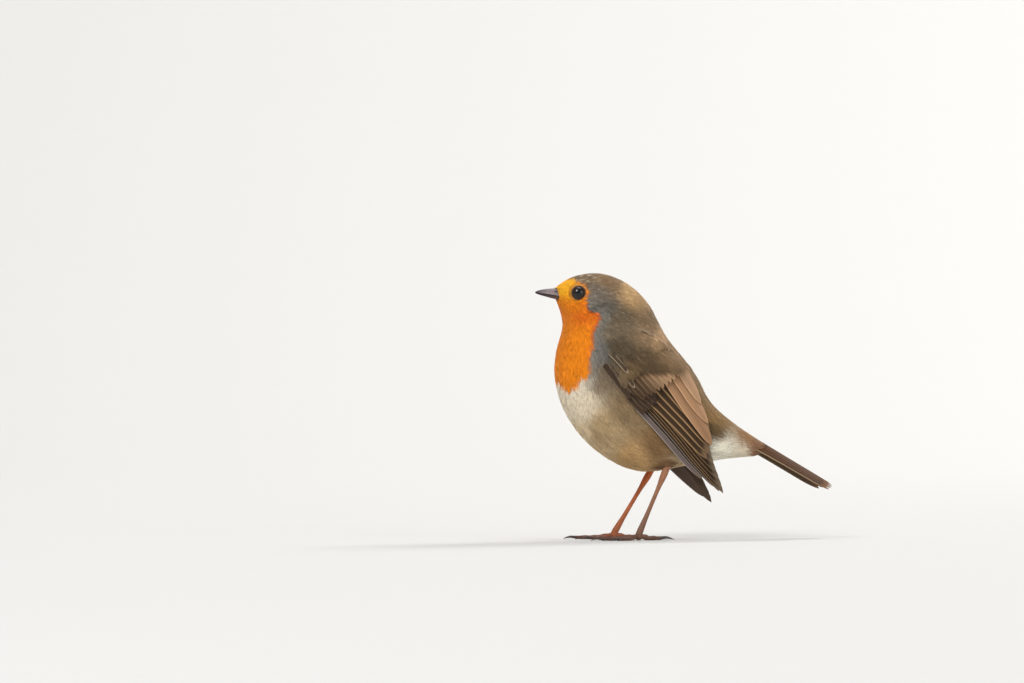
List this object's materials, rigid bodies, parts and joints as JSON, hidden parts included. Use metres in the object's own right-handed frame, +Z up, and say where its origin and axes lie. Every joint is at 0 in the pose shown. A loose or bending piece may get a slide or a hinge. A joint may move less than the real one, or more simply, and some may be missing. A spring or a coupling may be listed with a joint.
{
  "type": "robin",
  "caption": "Small plump songbird standing on both feet, head up and turned a little to its left, wings folded, tail closed and slanting down behind.",
  "frame": {"origin": "on the floor under the middle of the bird's bounding box", "axes": "the bird faces -X and its tail points to +X, its left side is at -Y, and +Z is up"},
  "size_m": [0.1102, 0.049, 0.097],
  "materials": {
    "plumage_orange": "matt, orange",
    "plumage_belly": "matt, off-white to buff",
    "plumage_back": "matt, olive-brown",
    "plumage_white": "matt, white",
    "wing_coverts": "matt, brown",
    "flight_feathers": "slight sheen, dark brown with buff edges",
    "tail_feathers": "slight sheen, warm brown",
    "leg_skin": "satin, pinkish brown scales",
    "foot_skin": "satin, dark brown scales",
    "claw": "horn, satin",
    "bill": "horn, satin, dark grey",
    "eye": "wet gloss, black-brown"
  },
  "bodies": {
    "root": {"head": "plumage_orange", "neck": "plumage_orange", "breast": "plumage_orange", "belly": "plumage_belly", "back": "plumage_back", "rump": "plumage_back", "undertail": "plumage_white", "eye_left": "eye", "tail_left": "tail_feathers", "thigh_left": "plumage_back", "shank_left": "leg_skin", "foot_left": "foot_skin", "toe_left_hind": "foot_skin", "claw_left_hind": "claw", "toe_left_inner": "foot_skin", "claw_left_inner": "claw", "toe_left_middle": "foot_skin", "claw_left_middle": "claw", "toe_left_outer": "foot_skin", "claw_left_outer": "claw", "wing_left_coverts": "wing_coverts", "wing_left_primaries": "flight_feathers", "wing_left_secondaries": "flight_feathers", "wing_left_tertials": "flight_feathers", "eye_right": "eye", "tail_right": "tail_feathers", "thigh_right": "plumage_back", "shank_right": "leg_skin", "foot_right": "foot_skin", "toe_right_hind": "foot_skin", "claw_right_hind": "claw", "toe_right_inner": "foot_skin", "claw_right_inner": "claw", "toe_right_middle": "foot_skin", "claw_right_middle": "claw", "toe_right_outer": "foot_skin", "claw_right_outer": "claw", "wing_right_coverts": "wing_coverts", "wing_right_primaries": "flight_feathers", "wing_right_secondaries": "flight_feathers", "wing_right_tertials": "flight_feathers", "bill_upper": "bill", "bill_lower": "bill"}
  },
  "joints": []
}
